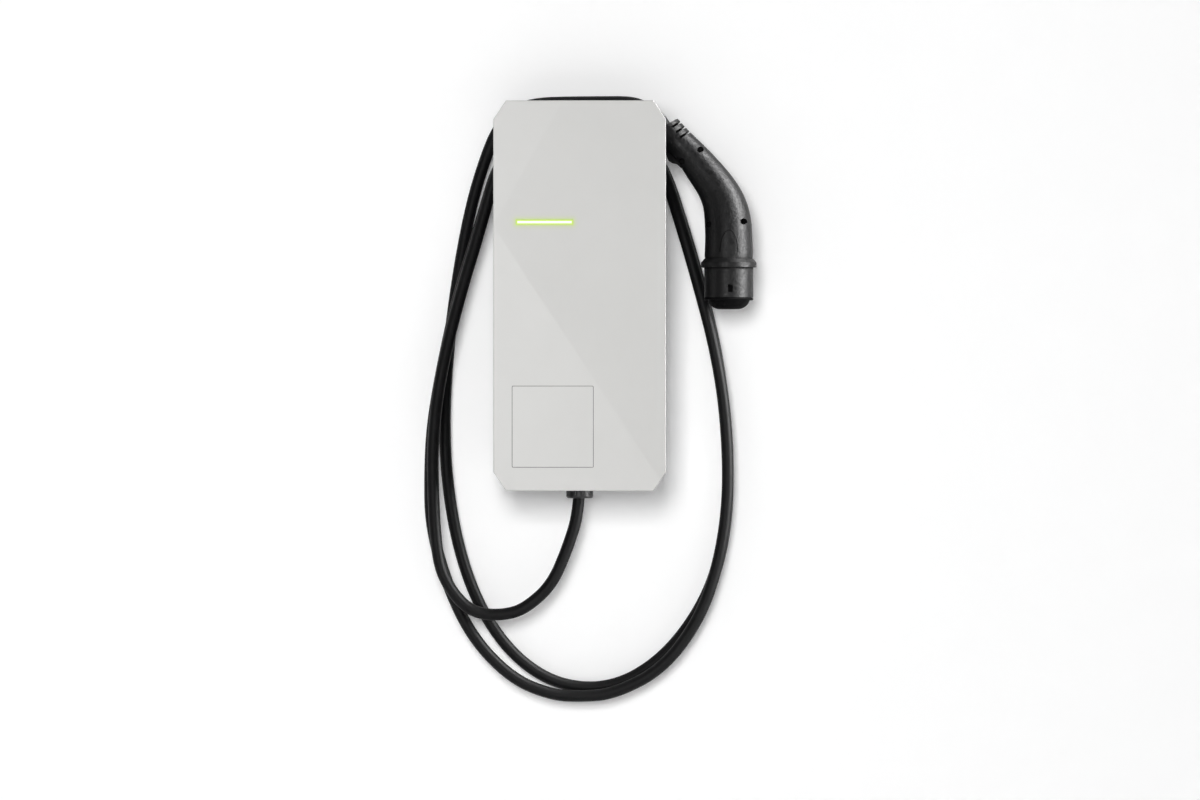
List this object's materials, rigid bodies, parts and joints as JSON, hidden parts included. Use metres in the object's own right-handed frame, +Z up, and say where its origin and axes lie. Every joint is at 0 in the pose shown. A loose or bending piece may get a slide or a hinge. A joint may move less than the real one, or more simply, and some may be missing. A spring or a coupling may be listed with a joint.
{
  "type": "ev wallbox",
  "caption": "Wall-mounted electric vehicle charger with a faceted cover, a cable wound over its saddle and a hanging connector.",
  "frame": {"origin": "centre of the four wall screws, on the wall plane", "axes": "+Y into the wall, +Z up, the front faces -Y"},
  "size_m": [0.4317, 0.118, 0.7879],
  "materials": {
    "cover_shell": "satin light warm grey",
    "panel_shell": "satin light warm grey",
    "light_bar": "translucent, lit pale green",
    "housing_plastic": "fine-grained charcoal",
    "plate_steel": "powder coated dark grey",
    "gland_plastic": "black polyamide",
    "cable_jacket": "black matt jacket",
    "handle_plastic": "satin dark grey",
    "nose_plastic": "satin dark grey",
    "cap_rubber": "soft black rubber",
    "seal_rubber": "matt black",
    "contact_metal": "silver plated",
    "screw_steel": "zinc plated",
    "circuit_board": "green solder mask",
    "component_plastic": "black moulded",
    "terminal_plastic": "grey polyamide",
    "radiator": "anodised",
    "lamp": "light emitting"
  },
  "bodies": {
    "wallbox": {"base_housing": "housing_plastic", "housing_seal": "seal_rubber", "wall_plate": "plate_steel", "plate_screws": "screw_steel", "front_flange": "housing_plastic", "flange_screws": "screw_steel", "cover_clips": "screw_steel", "supply_grommet": "seal_rubber", "cable_gland_body": "gland_plastic", "gland_locknut": "gland_plastic", "gland_sleeve": "seal_rubber", "cable_gland_nut": "gland_plastic", "main_board": "circuit_board", "board_screws": "screw_steel", "supply_terminals": "terminal_plastic", "outlet_terminals": "terminal_plastic", "charging_relays": "component_plastic", "leakage_sensor": "component_plastic", "power_module": "radiator", "radio_module": "circuit_board", "status_board": "circuit_board", "status_lamps": "lamp", "reader_board": "circuit_board", "small_board_screws": "screw_steel", "charging_cable": "cable_jacket", "cable_bushing": "seal_rubber", "handle_front_shell": "handle_plastic", "handle_rear_shell": "handle_plastic", "handle_screws": "screw_steel", "nose_shroud": "nose_plastic", "contact_carrier": "nose_plastic", "power_contacts": "contact_metal", "signal_contacts": "contact_metal"},
    "cover": {"front_cover": "cover_shell", "blanking_panel": "panel_shell", "light_guide": "light_bar"},
    "cap": {"protective_cap": "cap_rubber"}
  },
  "joints": [
    {"name": "front_cover_pull", "type": "slide", "parent": "wallbox", "child": "cover", "axis": [0, -1, 0], "range_m": [0, 0.12]},
    {"name": "cap_pull", "type": "slide", "parent": "wallbox", "child": "cap", "axis": [0, 0, -1], "range_m": [0, 0.025]}
  ]
}
